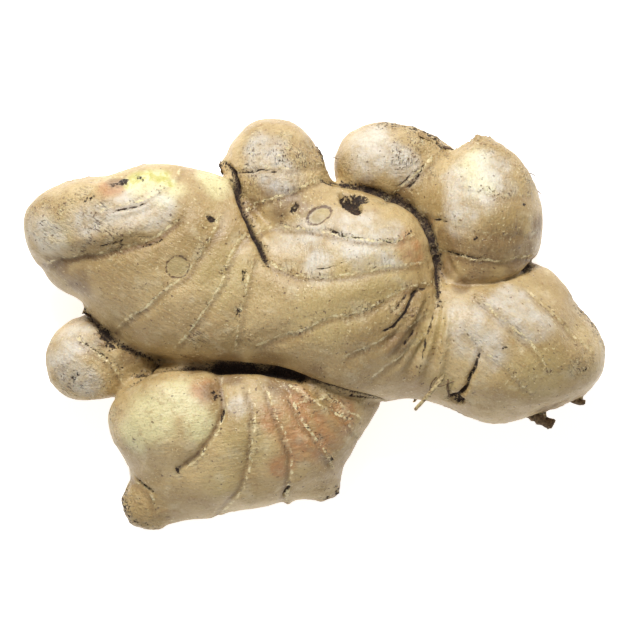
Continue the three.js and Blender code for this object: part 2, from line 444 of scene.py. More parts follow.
for half, depth, left, right, dirt, line in FOLDS.values():
    distance, side, share = away_from(drawn(line))
    taper = 0.3 + 0.7 * ramp(share, 0, 0.2) * (1 - ramp(share, 0.8, 1))
    lip = bump(distance, LIP_WIDTH) * (1 - bump(distance, FOLD_ROUND + half))
    height += taper * lip * np.where(side > 0, left, right)
    height -= taper * depth * bump(distance, FOLD_ROUND + half)
    edge = distance + ragged - half * taper
    if dirt > 0.5:
        fold_gap = np.minimum(fold_gap, edge)
    soil = np.maximum(soil, CRUMB_AMOUNT * dirt * bump(np.maximum(edge, 0), CRUMB_REACH))
print("fold points:", int((fold_gap < 0).sum()))

# %% [markdown]
# ## Cracks, nicks and streaks
#
# Where the skin dried or was knocked it split, and soil or dried sap fills the split. A crack is a line with
# a dark floor and a slightly raised lip. After each name come the half width and the depth in mm.

# %% Cracks
CRACKS = {
    "lobe_crack": (0.34, 1.5, [
        (28.2, -6), (27.5, -8.5), (27.2, -10.5), (26.2, -12.4), (26, -14.5), (25, -16),
    ]),
    "lobe_crack_end": (0.5, 1.2, [(26, -14.5), (25, -16), (23.6, -17), (22.6, -17.6)]),
    "crown_slit": (0.26, 0.6, [(2.1, 23.1), (3.2, 22.9), (4, 22.2), (5.3, 21.4)]),
    "crown_slit_tail": (0.12, 0.3, [(5.3, 21.4), (9, 20.9), (14, 20.8)]),
    "crown_dashes": (0.14, 0.3, [(12.6, 20.6), (13.8, 20.4), (15, 21)]),
    "crown_faint": (0.08, 0.2, [(-1, 13.6), (3, 14), (5, 15.5)]),
    "east_slit": (0.26, 0.5, [(19.8, 25.8), (20.9, 25.6), (22.4, 25.2)]),
    "east_line": (0.2, 0.45, [(22.2, 17.8), (24, 17.1), (26, 16.6), (28.3, 16)]),
    "lower_crease": (0.2, 0.4, [(5.7, -16.7), (7.5, -17.2), (9.5, -17.7), (11.3, -17.9)]),
    "bud_nick": (0.25, 0.5, [(-15.5, -19.8), (-15.7, -21.4), (-16.1, -23.4)]),
    "nub_nick": (0.25, 0.6, [(-4.2, -38.7), (-4.9, -40), (-5.4, -41)]),
    "streak_one": (0.4, 0.6, [(13.3, -0.5), (14.5, 2), (15.4, 3.6), (16.2, 5.8), (17, 7.6), (17.8, 8.8)]),
    "streak_two": (0.22, 0.4, [(16.4, 7.4), (17.6, 8.6), (19.9, 9.5)]),
    "streak_three": (0.2, 0.4, [(15.4, -4.5), (16.4, -2.4), (17, -1)]),
    "streak_four": (0.16, 0.3, [(11.4, -1.6), (12.6, -0.8), (13.6, 0.2)]),
    "streak_five": (0.14, 0.3, [(12.8, 3), (14.4, 5), (16, 8)]),
    "west_line": (0.2, 0.4, [(-34.8, 27.4), (-33.3, 28.2), (-31.6, 28.4), (-30, 29.1), (-28.7, 29.8)]),
    "west_nick": (0.18, 0.4, [(-33.6, 23.1), (-33.8, 20.8), (-33.6, 19.5), (-32.2, 19.3)]),
    "west_nick_two": (0.12, 0.3, [(-31, 21.7), (-29.6, 21.5), (-28.2, 21.4)]),
    "west_nick_three": (0.12, 0.3, [(-30, 18.7), (-27.6, 19.6), (-26, 20.8)]),
    "west_nick_four": (0.1, 0.3, [(-36.8, 19.2), (-34.4, 19.8), (-32.6, 20.9)]),
    "knob_line": (0.16, 0.5, [(-39.8, -3.4), (-37.5, -5.7), (-35.8, -7.3), (-34.1, -9), (-32.6, -10.4)]),
    "tip_fold": (0.26, 0.7, [(-30.9, -36.5), (-29.9, -38), (-28.6, -39.3), (-27.8, -40)]),
    "north_scratch": (0.16, 0.4, [(-14, 37.4), (-11.5, 36.9), (-9, 38), (-6.5, 37)]),
    "north_scratch_two": (0.12, 0.3, [(-7.6, 41.5), (-6, 40), (-5, 38.2), (-3.4, 38)]),
    "north_scratch_three": (0.12, 0.3, [(-6, 43.6), (-5.4, 42), (-4.9, 40.6)]),
    "rear_wrinkle": (0.18, 0.4, [(15.6, 33), (17, 34.6), (17.9, 37), (18.6, 39)]),
    "rear_wrinkle_two": (0.12, 0.3, [(13.6, 33.2), (15.2, 34.4), (16.2, 36.2)]),
    # the two valley lines are painted shade: thin dark lines down the valley between the crown and the right
    # lobe
    "valley_one": (0.1, 0.6, [(20.7, 5.8), (20.2, 2), (19.2, -2), (18.5, -6), (17.8, -11)]),
    "valley_two": (0.08, 0.5, [(21.7, 5), (22.1, 1), (21.6, -4), (21.4, -9)]),
    "lower_streak": (0.16, 0.3, [(-1.6, -24), (0.4, -25.6), (2, -27.8)]),
    "heel_dash": (0.2, 0.3, [(-12.4, 13.6), (-12, 12.2), (-12.3, 10.8)]),
    "heel_dash_two": (0.16, 0.3, [(-13.2, 3.8), (-13.4, 2.4), (-13.3, 0.6)]),
    "heel_dash_three": (0.16, 0.2, [(-23.2, -7), (-21.6, -7.6)]),
}
CRACK_LEAST = 0.4
CRACK_LIP = 0.16
crack_gap = np.full(count, FAR)
for half, depth, line in CRACKS.values():
    distance, side, share = away_from(drawn(line))
    taper = 0.25 + 0.75 * np.sin(np.clip(share, 0.02, 0.98) * math.pi) ** 0.6
    edge = distance + 0.16 * fine + 0.1 * medium - half * taper
    crack_gap = np.minimum(crack_gap, edge)
    height -= depth * taper * bump(distance, 1.2 * max(half, CRACK_LEAST))
    height += CRACK_LIP * taper * bump(distance - half * 2.4 - 0.3, 0.6)
print("crack points:", int((crack_gap < 0).sum()))

# %% [markdown]
# ## Ridges and swellings
#
# Between the crown and the right lobe the skin is gathered into pleats, and here and there the flesh
# swells between two rings. A ridge is a line with its half width and height in mm. A swelling is a place,
# its reach and its height.

# %% Ridges and swellings
RIDGES = {
    "pleat_one": (1.0, 0.9, [(21, 6.5), (20.6, 1), (19.6, -4), (18.2, -9), (16.6, -14)]),
    "pleat_two": (0.8, 0.7, [(22.6, 4), (22.4, -2), (21.6, -8), (21, -13)]),
    "pleat_three": (0.8, 0.7, [(18.6, 7.6), (16.6, 2), (14.6, -3), (12, -7)]),
    "pleat_four": (0.7, 0.5, [(18.6, -2), (16.4, -7), (14, -11.5)]),
    "wedge_ridge": (1.1, 0.8, [(-4, -13.5), (0, -18.5), (5, -25)]),
    "wedge_low": (1.0, 0.6, [(-3, -26.5), (1, -30), (3.6, -33)]),
    "lobe_spine": (1.6, 0.8, [(27.5, 8.4), (31, 5), (34.5, 1), (37.5, -3)]),
    "west_shelf": (1.8, 0.6, [(-46, 19), (-40, 20), (-34, 22), (-28.5, 24.6)]),
    "cut_lip": (0.8, 0.4, [(-37, 26.2), (-34, 27), (-30, 28.4), (-26.6, 31.6)]),
}
SWELLINGS = [
    (34, 5, 6, 0.9), (25, 1, 5, 0.6), (6, 22.5, 6, 0.5), (9, 17.5, 6, 0.4), (-2, 5, 7, 0.4), (8, 7, 7, 0.4),
    (-30, 9, 7, 0.4), (-20, 8, 5, 0.3), (-36, 31, 5, 0.4), (-6, 37, 5, 0.4), (12, 39, 5, 0.5),
    (29, 30, 6, 0.5), (-12.8, -28, 3.4, 0.5), (-7.6, -30, 3.2, 0.45), (-0.5, -31, 3.2, 0.4),
    (-25, -26, 7, 0.5), (-27, -14, 3, 0.6), (-31, -22, 3, 0.4), (45, 0, 4, -0.5), (40, 8, 4, -0.3),
    (-46, 24, 3.5, 0.4), (-33, 36, 3, -0.8), (-24, 38, 3.5, 0.6),
]
for half, rise, line in RIDGES.values():
    distance, side, share = away_from(drawn(line))
    taper = np.sin(np.clip(share, 0.02, 0.98) * math.pi) ** 0.5
    furrow = bump(distance - 1.9 * half, 0.8 * half)
    height += rise * taper * (bump(distance, half) - 0.45 * furrow)
for x, y, reach, rise in SWELLINGS:
    distance = np.linalg.norm(places - np.array(lay_on_skin(x, y)), axis=1)
    height += rise * bump(distance + 0.5 * medium, reach)
print("ridges:", len(RIDGES), "swellings:", len(SWELLINGS))

# %% [markdown]
# ## Ragged rims
#
# At the blunt ends and along some edges the old skin is torn and sticks out in crumbs. Each rim is a line
# of map squares with heights, because it runs round the side of the hand. Before the line come how far it
# sticks out and how wide it is, in mm, and how dirty it is.

# %% Ragged rims
RIM_FLATTEN = 0.3
RIMS = {
    "east_block": (2.2, 2.6, 0.1, [(26.4, 41.6, 16), (28.6, 42.6, 17), (30.6, 42, 16)]),
    "east_top": (1.6, 0.9, 0.6, [(25, 41.5, 16), (27.6, 43.4, 17), (29.6, 43.6, 17), (31.6, 42.6, 16)]),
    "east_step": (1.6, 1.2, 0.9, [(24.2, 40.6, 15), (25.4, 41.6, 16)]),
    "east_side": (0.8, 1.2, 0.9, [(33.8, 39, 16), (36, 36, 16), (38, 32.6, 15)]),
    "rear_side": (1.2, 1.3, 0.8, [(16, 48, 17), (19, 46, 16), (22, 42.6, 15), (24, 40, 14)]),
    "rear_top": (0.6, 1.3, 0.5, [(9, 48.5, 15), (13, 49.5, 15), (16, 48, 16)]),
    "north_side": (1.1, 1.2, 0.9, [(-2, 45, 16), (0.4, 41.5, 16), (1.6, 38, 16)]),
    "north_top": (0.6, 1.3, 0.3, [(-9, 48, 15), (-6, 48.6, 15), (-3, 47, 15)]),
    "collar": (1.8, 1.2, 0.9, [(-16.2, 40, 17), (-15, 39, 18), (-14.4, 36.6, 19)]),
    "west_top": (0.9, 1.4, 0.9, [(-45, 32.6, 18), (-41, 34.6, 19), (-37, 36.4, 20)]),
    "cut_top": (1.2, 1.4, 0.2, [(-34, 38, 20), (-31, 39, 20), (-27.5, 38, 20)]),
    "west_side": (0.7, 1.3, 0.8, [(-48, 25, 17), (-47, 18, 16), (-43.6, 12, 15)]),
    "tuft": (1.7, 1.2, 0.9, [(-40, 3.4, 14), (-38.8, 4.4, 15), (-38.2, 2.4, 16)]),
    "knob_side": (0.6, 1.3, 0.7, [(-44.5, -2, 10), (-45.6, -7, 10), (-44, -13, 10)]),
    "bud_side": (0.9, 1.3, 0.9, [(-31, -17, 16), (-33.6, -21, 16), (-33.4, -27, 15), (-31, -32, 14)]),
    "finger_tip": (1.1, 1.4, 0.9, [(-31.6, -37, 12), (-32.8, -42, 12), (-31, -46.6, 12), (-27, -48.8, 12)]),
    "finger_base": (0.7, 1.1, 0.8, [(-19, -46, 12), (-16.4, -45, 12), (-14, -44.6, 12)]),
    "nub_end": (1.3, 1.2, 0.8, [(-5.2, -41.4, 12), (-4.2, -42.6, 12)]),
    "nub_side": (0.9, 1.1, 0.6, [(3.4, -38, 12), (3.6, -40, 12), (1, -43, 12)]),
    "lobe_side": (0.6, 1.2, 0.7, [(40, 13, 15), (44, 6, 15), (48, -1, 15), (49.6, -6, 14), (48, -12, 13)]),
    "lobe_under": (0.8, 1.2, 0.6, [(46, -16.6, 13), (42, -19, 12), (38, -22, 12)]),
    "lobe_base": (0.5, 1.2, 0.6, [(34, -23.6, 12), (28, -23, 12), (24, -20.6, 12), (21, -18, 13)]),
}
crumbly = 0.4 + 0.9 * np.abs(speckle(1.1, 7)) + 0.7 * np.maximum(speckle(2.4, 8), 0) + 0.3 * fine
rim_dirt = np.zeros(count)
flattened = np.array([1, 1, RIM_FLATTEN])
for rise, wide, dirt, line in RIMS.values():
    stops = np.array([list(on_map(x, y) + Vector((0, 0, z))) for x, y, z in line])
    distance, side, share = away_from(stops * flattened, where=places * flattened)
    near = bump(distance, wide) * (0.4 + 0.6 * np.sin(np.clip(share, 0.03, 0.97) * math.pi))
    height += rise * near * crumbly
    rim_dirt = np.maximum(rim_dirt, (0.35 + 0.65 * dirt) * near)
print("rims:", len(RIMS), "points:", int((rim_dirt > 0.3).sum()))

# %% [markdown]
# ## Pits and scabs
#
# Soil sits in the pit behind the crown, and broken leaf bases leave small brown scabs. All of them are
# ovals laid on the skin. After each name come the place, the two radii in mm, the turn in degrees, the
# depth in mm, which is negative for a raised scab, and how dark it is.

# %% Pits and scabs
PITS = {
    "soil_pit": (6.1, 29.9, 4.2, 2.1, -58, 2.2, 1.0),
    "soil_pit_neck": (7.6, 30.8, 2.2, 1.2, -20, 0.7, 1.0),
    "lobe_pit": (24.7, -17.8, 1.5, 1.1, 10, 1.0, 1.0),
    "neck_scab": (-3.6, 28.2, 1.5, 0.8, 65, 0.35, 0.75),
    "neck_scab_two": (-5.6, 26.4, 1.3, 0.6, 30, 0.2, 0.5),
    "cut_scab": (-32.8, 35.3, 1.7, 1.0, 60, -0.35, 0.9),
    "cut_scab_two": (-34.2, 34.2, 1.5, 0.8, 20, -0.2, 0.6),
    "tip_specks": (-38.4, 30.4, 1.5, 0.9, 20, 0.1, 0.5),
    "tip_specks_two": (-38.2, 20, 1.6, 0.6, 10, 0.15, 0.55),
    "knob_specks": (-41, -12.4, 1.8, 0.9, 50, 0.1, 0.42),
    "cut_scab_three": (-30, 36.2, 1.2, 0.4, -35, -0.15, 0.7),
    "knob_dirt": (-36, -1.8, 2.4, 1.2, -60, 0.5, 0.9),
    "knob_dirt_two": (-34.8, -4.6, 1.6, 1.1, -60, 0.3, 0.7),
    "heel_dot": (-11.9, 13, 0.9, 0.5, 70, 0.2, 0.8),
    "heel_dot_two": (-13.2, 3.3, 0.9, 0.4, 80, 0.2, 0.8),
    "crown_scab": (16, 22.6, 1.3, 0.8, 30, -0.15, 0.45),
    "east_scab": (27.5, 21.2, 0.7, 0.4, 20, 0.1, 0.8),
    "east_dot": (35.9, 29.2, 0.5, 0.4, 0, 0.1, 0.8),
    "lobe_dot": (32.3, -5, 0.6, 0.4, 0, 0.15, 0.9),
    "lobe_dot_two": (46, -10.2, 0.5, 0.5, 0, 0.15, 0.9),
    "west_scar": (-17.6, 26, 1.4, 0.8, -35, 0.25, 0.85),
    "lower_scab": (-16.8, -16.5, 2.2, 1.1, -60, 0.25, 0.55),
    "lower_dot": (-23.5, -34.8, 0.7, 0.4, 80, 0.15, 0.8),
    "nub_dot": (2.8, -31.7, 0.8, 0.35, 80, 0.2, 0.8),
}


def oval_gap(x, y, long, short, turn):
    """Each point's distance past the rim of an oval on the skin, in mm: negative inside it."""
    centre = np.array(lay_on_skin(x, y))
    off = places - centre
    angle = math.radians(turn)
    along = off[:, 0] * math.cos(angle) + off[:, 1] * math.sin(angle)
    across = off[:, 1] * math.cos(angle) - off[:, 0] * math.sin(angle)
    reach = np.sqrt((along / long) ** 2 + (across / short) ** 2 + (off[:, 2] / max(long, 2)) ** 2)
    return (reach - 1) * min(long, short)


pit_dark = np.zeros(count)
for x, y, long, short, turn, depth, dark in PITS.values():
    rim = oval_gap(x, y, long, short, turn) + 0.35 * fine + 0.15 * medium
    inside = 1 - ramp(rim, -0.45, 0.35)
    height -= depth * inside
    pit_dark = np.maximum(pit_dark, dark * inside)
print("pit points:", int((pit_dark > 0.4).sum()))

# %% [markdown]
# ## Root scars
#
# A root that drops off leaves a neat round scar, about 5 mm across: a fine dark rim round a slightly sunk,
# greenish floor. The oval one is a bud's scar, with a raised pale lip and a plug in the middle.

# %% Root scars
SCARS = {
    "root_scar": (-23.5, 14.2, 2.75, 2.55, 25, 0.12),
    "bud_scar": (0.7, 26.8, 3.2, 1.9, 32, 0.3),
}
scar_rim = np.full(count, FAR)
scar_floor = np.zeros(count)
for *oval, depth in SCARS.values():
    rim = oval_gap(*oval) + 0.06 * fine
    scar_rim = np.minimum(scar_rim, np.abs(rim))
    scar_floor = np.maximum(scar_floor, 1 - ramp(rim, -0.5, 0.1))
    height -= depth * (1 - ramp(rim, -0.6, 0.1))
    height -= 0.16 * bump(rim, 0.4)
    height += depth * 0.9 * bump(rim - 0.75, 0.5)
bud_plug = oval_gap(0.9, 26.6, 1.9, 0.9, 32)
height += 0.3 * (1 - ramp(bud_plug, -0.4, 0.3))
print("scar points:", int((scar_rim < 0.4).sum()))

# %% [markdown]
# ## Patches of skin
#
# The skin isn't alike all over. The oldest tips are corky and wrinkled, some places blush pink where the
# flesh shows through, the young bud is pale cream, and on the long finger a slice of skin is gone, which
# leaves wet yellow flesh. Some patches are painted light: highlights painted on the crests, shade painted
# in the hollows and under the overhangs, and a faint shade painted on the low slopes. Each patch is a soft
# ball round a place on the skin, with its reach in mm. The skin wrinkles along the way a finger grew, so
# GROWTH gives that direction in degrees for each finger.

# %% Patches
PATCHES = {
    "cork": [
        (-45, 26, 9), (-38, 30.5, 7), (-39, 21, 7), (-33, 20.5, 6), (-8, 43, 9), (-3, 40, 8), (2, 40, 6),
        (17, 43, 9), (19.5, 41, 6), (31, 42, 5), (36.5, 36, 5), (-43, -14, 8), (-38, -15, 7),
        (-31, -45, 7), (-28, -47, 5), (0, -40, 5), (46, -8, 6), (40, -20, 6), (24, -17, 5), (15.5, 3, 5),
        (-36, -2, 4), (-13, -3, 5), (-20, -4, 4), (-34, -20, 5), (-33, -27, 4), (-12, 37, 6),
        (-16, 38, 4),
    ],
    "blush": [
        (-2, -26, 7), (1, -28, 6), (-7, -22, 4.5), (16.8, 19.3, 5), (-1, -24, 6), (5, -22, 5),
        (-35, 33, 4), (-19, -15, 4), (-6, -34, 4), (17.4, 18.4, 4), (-3, -19, 6),
    ],
    "cream": [
        (-29, 35, 6), (-25.5, 33, 5), (-28, -22, 8), (-23, -17, 6), (-31, -26, 5), (27, 39, 5),
        (-17, 35, 5), (28, 35, 5), (-20, -23, 5),
    ],
    "cut": [
        (-30.6, 36.4, 2.8), (-28.6, 36.6, 2.4), (-26, 36.2, 2.6), (-31.6, 34.4, 1.8), (-24.6, 35, 1.6),
    ],
    # painted highlights: pale patches on the crests of the lobes and knobs, where the lamp's sheen falls
    "bloom": [
        (7, 21, 9), (13, 20.5, 6), (-2, 21, 7), (1, 16, 6), (28, 34, 9), (30, 38.5, 6), (25, 27, 6),
        (34, 4.5, 7), (37, 0, 6), (26, 0, 7), (30, -5, 6), (10, 43, 7), (15, 39, 5), (-33, 28, 7),
        (-27, 28, 6), (-39, 26, 6), (-9, 42, 7), (-6, 36, 6), (-13, -19, 3.5), (-41, -3, 6), (-43, -9, 6),
        (-46, 22, 6), (-39, -14, 5),
    ],
    # painted shade: darker brown in the hollows and folds, in the crevice under the heel and under the
    # overhanging knobs and lobes
    "umber": [
        (9, 32.6, 4), (14.5, 30.8, 3.5), (19.5, 25, 3), (22, 21, 4), (26, 17.5, 5), (31, 17.5, 5),
        (36, 18.5, 4.5), (22.5, 14, 3.5), (28, 13, 4), (34, 14, 3.5), (24, 20, 4), (29, 20, 5),
        (34, 21, 4), (38, 24, 4), (-37.5, 1.4, 3), (-35.5, -3, 3.5), (-31.5, -7, 3), (-20, -8, 4),
        (-15, -8, 5), (-8, -8.2, 5), (0, -11, 4.5), (-14, -12.5, 3), (-6, -14, 4), (-17.6, -15.6, 3.2),
        (-11, 29, 3), (-8, 33, 3.6), (-4, 31.5, 3.4), (25, 10, 3), (-6, 27.5, 3), (-2.5, 28.5, 2.4),
        (15.6, 4, 3), (17, 8, 3), (14, -4, 4), (16.5, -1, 3), (-33, -42, 4), (40, -20, 3), (-34, 35, 2.6),
        (-44, 14, 4), (-40, 10, 5), (-46, -16, 3),
    ],
    "straw": [
        (8, 12, 12), (2, 3, 10), (18.5, -3, 4), (21, 0, 4), (22, -14, 4), (-16, 12, 8), (-12, -28, 8),
        (-16, -38, 6), (38, -12, 9), (-44, 22, 5),
    ],
    # painted shade: a faint darker clay tone on the low slopes above the crevice, which face away from the
    # lamp
    "clay": [
        (-35, 6, 11), (-28, -1, 10), (-20, 2, 9), (-26, -7, 9), (10, -8, 9), (-2, -9, 8), (5, -12, 8),
        (14, -14, 8),
    ],
}


def patch(spots, ragged):
    """How much each point is in a patch, from 0 to 1, with an edge as ragged as the noise given."""
    amount = np.zeros(count)
    for x, y, reach in spots:
        distance = np.linalg.norm(places - np.array(lay_on_skin(x, y)), axis=1)
        amount = np.maximum(amount, 1 - ramp(distance / reach + ragged, 0.45, 1.15))
    return amount


GROWTH = {
    "west_grain": (150, [(-42, 20, 18), (-32, 12, 20), (-22, 2, 18), (-38, -12, 14), (-25, 25, 14)]),
    "north_grain": (90, [(0, 10, 22), (8, -4, 20), (-8, 38, 14), (14, 40, 14), (28, 30, 20), (-4, -4, 14)]),
    "south_grain": (8, [(-25, -28, 20), (-10, -30, 20), (3, -26, 16)]),
    "east_grain": (-42, [(30, -4, 20), (40, -6, 18), (22, -6, 12)]),
}
patches = {name: patch(spots, 0.3 * medium + 0.12 * broad) for name, spots in PATCHES.items()}
patches |= {name: patch(grown[1], 0.2 * broad) for name, grown in GROWTH.items()}
patches["bloom"] = patch(PATCHES["bloom"], 0.35 * medium + 0.5 * broad)
patches["cut"] = patch(PATCHES["cut"], 0.18 * medium + 0.1 * fine)
print({name: int((amount > 0.5).sum()) for name, amount in patches.items()})

# %% [markdown]
# ## Sculpt
#
# Everything above is added up into one height for each point, with lumps of three sizes, and the points
# are moved along their normals. Corky skin is rougher, and the cut is flattened. Nothing may sink below
# the table, so points that would are left on it.

# %% Move the points
cork = patches["cork"]
height += 0.6 * broad + 0.35 * speckle(7, 6) + 0.22 * medium + 0.07 * fine
height += cork * (0.3 * medium + 0.2 * np.abs(fine) + 0.14 * speckle(0.9, 4))
height -= patches["cut"] * (0.35 + 0.12 * np.abs(speckle(1.1, 5)))
moved = places + normals * height[:, None]
moved[:, 2] = np.maximum(moved[:, 2], 0)
even_mesh.vertices.foreach_set("co", (moved * MM).ravel())
even_mesh.polygons.foreach_set("use_smooth", [True] * len(even_mesh.polygons))
even_mesh.update()
print("height range in mm:", height.min().round(2), height.max().round(2))

# %% [markdown]
# ## Marks for the material
#
# The same measures steer the colours. Each is stored on the mesh as an attribute with one number for each
# point, in millimetres where it is a distance, so that the material can draw a line thinner than the gaps
# between points.

# %% Store the attributes
LINE_LIMIT = 3.0


def store(name, values):
    """Keeps one number for each point under that name."""
    mark = even_mesh.attributes.new(name, "FLOAT", "POINT")
    mark.data.foreach_set("value", values.astype(np.float32))


store("ring_gap", np.minimum(ring_gap, LINE_LIMIT))
store("ring_pale", ring_pale)
store("ring_shade", ring_shade)
store("crack_gap", np.minimum(crack_gap, LINE_LIMIT))
store("fold_gap", np.minimum(fold_gap, LINE_LIMIT))
store("scar_rim", np.minimum(scar_rim, LINE_LIMIT))
store("scar_floor", scar_floor)
store("soil", np.maximum(soil, np.maximum(pit_dark, 0.62 * rim_dirt)))
for name, amount in patches.items():
    store(name, amount)
print("attributes:", [a.name for a in even_mesh.attributes])

# %% [markdown]
# ## Skin material
#
# Ginger skin is a thin dry cork over moist flesh. Light goes a little way in, so there is some scattering
# under the surface, which makes the flesh look plump, and the washed skin has a satin gloss. The colours
# are layered: a straw base with cream patches and a faint painted shade on the low slopes, painted shade in
# the hollows and beside the rings, painted highlights on the crests, pale rings, wrinkles that run the way
# the finger grew, brown specks, and last, on top, soil, which in the folds is also painted shade. Soil and
# the painted fold shade dull the gloss, and the cut flesh is wetter.

# %% Colours and the node helper
def linear(hex_colour):
    """An sRGB hex colour as the linear red, green, blue and alpha that Blender uses."""
    channels = [int(hex_colour[i : i + 2], 16) / 255 for i in (1, 3, 5)]
    return [c / 12.92 if c <= 0.04045 else ((c + 0.055) / 1.055) ** 2.4 for c in channels] + [1]


def add(tree, kind, links=None, **settings):
    """Adds a node with its settings. links maps an input to a value or to the output that feeds it."""
    made = tree.nodes.new(kind)
    for name, value in settings.items():
        setattr(made, name, value)
    for name, value in (links or {}).items():
        if isinstance(value, bpy.types.NodeSocket):
            tree.links.new(value, made.inputs[name])
        else:
            made.inputs[name].default_value = value
    return made


def fresh(name):
    """An empty material and its node tree."""
    material = bpy.data.materials.new(name)
    material.use_nodes = True
    material.node_tree.nodes.clear()
    return material, material.node_tree


print("white in linear:", linear("#ffffff"))

# %% The ginger skin
STRAW = "#c6aa74"
TAN = "#ab8d57"
# this colour is the freckles, and also the faint painted shade on the low slopes
CLAY = "#a37e4c"
PALE = "#dccca4"
CREAM = "#e2d79f"
BLUSH = "#b9834f"
# the colour of the painted highlights on the crests
PAINTED_HIGHLIGHT = "#dcd6c9"
STRAW_YELLOW = "#c2ab6e"
THREAD = "#ecdaa6"
# this brown is the fine grain, and also the painted shade in the hollows and beside the rings
UMBER = "#86673c"
SPECK = "#583719"
# this dark is the soil in the folds, cracks and pits, and also the painted shade deep in the folds
SOIL_AND_SHADE = "#2b1606"
DUST = "#573b20"
CUT_FLESH = "#c2b75e"
WET_FLESH = "#ddd69a"
SCAR_FLOOR = "#a3925f"

skin_material, tree = fresh("fresh_ginger_skin")
coordinates = add(tree, "ShaderNodeTexCoord").outputs["Object"]

print("skin material:", skin_material.name)

# %% [markdown]
# ## How the skin is mixed
#
# A skin like this has dozens of thin layers, so it is written as a recipe. Each step in it has the name of
# what it makes, what it does, and the one or two values that it does it to. RANGE turns a value from one
# range into another, smoothly, and stops at its ends: after the value come the two ends it is read between
# and the two ends it is given. The other steps are sums. A layer is a colour with the value that says how
# much of it there is. The steps stay in the order in which the marks came onto the root.

# %% The measures on the skin
STORED = ["ring_gap", "ring_pale", "ring_shade", "crack_gap", "fold_gap", "scar_rim", "scar_floor", "soil"]
values = {}
for name in [*STORED, *patches]:
    values[name] = add(tree, "ShaderNodeAttribute", attribute_name=name).outputs["Fac"]
print("measures:", len(values))

# %% Stains: noise with blobs of a size in mm, then its detail, roughness and distortion
STAINS = {
    "mottle": (13, 3.0, 0.55, 0.0),
    "cloud": (4.2, 4.0, 0.55, 0.0),
    "freckle": (1.5, 4.0, 0.6, 0.0),
    "grain": (0.55, 3.0, 0.6, 0.0),
    "dash": (0.75, 2.0, 0.5, 0.6),
    "shake": (0.9, 4.0, 0.55, 0.0),
    "cluster": (6.5, 2.0, 0.55, 0.0),
    "thread_break": (1.7, 4.0, 0.55, 0.0),
    "fleck": (0.7, 2.0, 0.55, 0.0),
    "wrinkle_break": (4.2, 3.0, 0.55, 0.0),
    "lone": (0.95, 1.0, 0.4, 0.0),
    "wet": (2.4, 3.0, 0.55, 0.0),
    "crumb": (0.8, 4.0, 0.65, 0.0),
    "dust": (0.6, 2.0, 0.55, 0.0),
}
for name, (size, detail, rough, distortion) in STAINS.items():
    links = {"Vector": coordinates, "Scale": 1 / (size * MM), "Detail": detail}
    links |= {"Roughness": rough, "Distortion": distortion}
    values[name] = add(tree, "ShaderNodeTexNoise", links).outputs["Fac"]
print("stains:", len(STAINS))

# %% The ground colour, its patches, and the painted highlights and painted shade
GROUND_STEPS = [
    ("tan_amount", "RANGE", "mottle", (0.36, 0.64, 0.0, 0.9)),
    # the faint painted shade on the low slopes
    ("clay_amount", "MULTIPLY", "clay", 0.15),
    ("straw_amount", "MULTIPLY", "straw", 0.45),
    ("cream_amount", "MULTIPLY", "cream", 0.8),
    ("blush_cloud", "RANGE", "cloud", (0.3, 0.55, 0.3, 0.9)),
    ("blush_amount", "MULTIPLY", "blush", "blush_cloud"),
    ("pale_amount", "RANGE", "cloud", (0.52, 0.72, 0.0, 0.4)),
    # the painted shade in the hollows, broken up by cloud noise
    ("umber_cloud", "RANGE", "cloud", (0.3, 0.6, 0.45, 0.85)),
    ("umber_amount", "MULTIPLY", "umber", "umber_cloud"),
    ("freckle_amount", "RANGE", "freckle", (0.52, 0.72, 0.0, 0.5)),
    ("grain_amount", "RANGE", "grain", (0.55, 0.72, 0.0, 0.45)),
    # the painted highlight is broken up by cloud and freckle noise and kept off the blush
    ("waxy_cloud", "RANGE", "cloud", (0.34, 0.6, 0.25, 0.62)),
    ("waxy_freckle", "RANGE", "freckle", (0.66, 0.46, 0.7, 1.0)),
    ("waxy", "MULTIPLY", "waxy_cloud", "waxy_freckle"),
    ("unblushed", "RANGE", "blush", (0.0, 0.6, 1.0, 0.2)),
    ("waxy", "MULTIPLY", "waxy", "unblushed"),
    ("bloom_amount", "MULTIPLY", "bloom", "waxy"),
    ("shade_amount", "MULTIPLY", "ring_shade", 0.7),
]
GROUND_LAYERS = [
    (TAN, "tan_amount"), (CLAY, "clay_amount"), (STRAW_YELLOW, "straw_amount"), (CREAM, "cream_amount"),
    (BLUSH, "blush_amount"), (PALE, "pale_amount"), (UMBER, "umber_amount"), (CLAY, "freckle_amount"),
    (UMBER, "grain_amount"), (PAINTED_HIGHLIGHT, "bloom_amount"), (UMBER, "shade_amount"),
]
print("ground layers:", len(GROUND_LAYERS))

